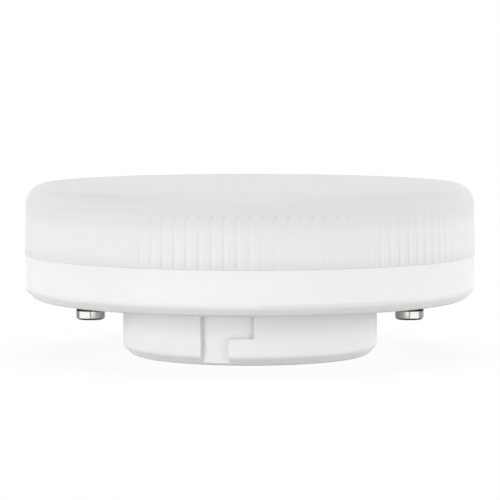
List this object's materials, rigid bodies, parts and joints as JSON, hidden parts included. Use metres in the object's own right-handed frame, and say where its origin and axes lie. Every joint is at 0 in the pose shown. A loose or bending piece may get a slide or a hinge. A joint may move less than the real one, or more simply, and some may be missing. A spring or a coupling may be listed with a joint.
{
  "type": "led disc lamp",
  "caption": "Flat round lamp with a milky push-fit cover, a white housing, contact pins and a central hub with L-shaped bayonet keyways.",
  "frame": {"origin": "centre of the hub's face, on which the lamp stands", "axes": "+Z through the lamp towards the cover, X through both contact pins, -Y towards one keyway"},
  "size_m": [0.0746, 0.0746, 0.0283],
  "materials": {
    "milky_cover": "satin, milky and lightly frosted",
    "white_housing": "smooth moulded, satin",
    "nickel_pin": "turned and nickel plated",
    "spreader_aluminium": "stamped, mill finish",
    "white_solder_mask": "semi-gloss white coating",
    "led_package": "yellow phosphor in a white frame",
    "screw_steel": "zinc plated",
    "green_board": "green laminate",
    "can_sleeve": "shrunk sleeve",
    "ferrite": "sintered, dull",
    "copper_wire": "enamelled copper",
    "moulded_black": "moulding compound",
    "resistor_coat": "dipped coating",
    "lead_white": "extruded insulation",
    "lead_red": "extruded insulation",
    "lead_black": "extruded insulation"
  },
  "bodies": {
    "root": {"diffuser_cover": "milky_cover", "housing": "white_housing", "contact_pin_left": "nickel_pin", "contact_pin_right": "nickel_pin", "heat_spreader": "spreader_aluminium", "led_board": "white_solder_mask", "board_screws": "screw_steel", "driver_board": "green_board", "led_01": "led_package", "led_02": "led_package", "led_03": "led_package", "led_04": "led_package", "led_05": "led_package", "led_06": "led_package", "led_07": "led_package", "led_08": "led_package", "led_09": "led_package", "led_10": "led_package", "led_11": "led_package", "led_12": "led_package", "led_13": "led_package", "led_14": "led_package", "led_15": "led_package", "led_16": "led_package", "input_capacitor": "can_sleeve", "output_capacitor": "can_sleeve", "choke_core": "ferrite", "choke_winding": "copper_wire", "fuse_resistor": "resistor_coat", "bridge_rectifier": "moulded_black", "driver_chip": "moulded_black", "freewheel_diode": "moulded_black", "input_lead_left": "lead_white", "input_lead_right": "lead_white", "output_lead_positive": "lead_red", "output_lead_negative": "lead_black"}
  },
  "joints": []
}
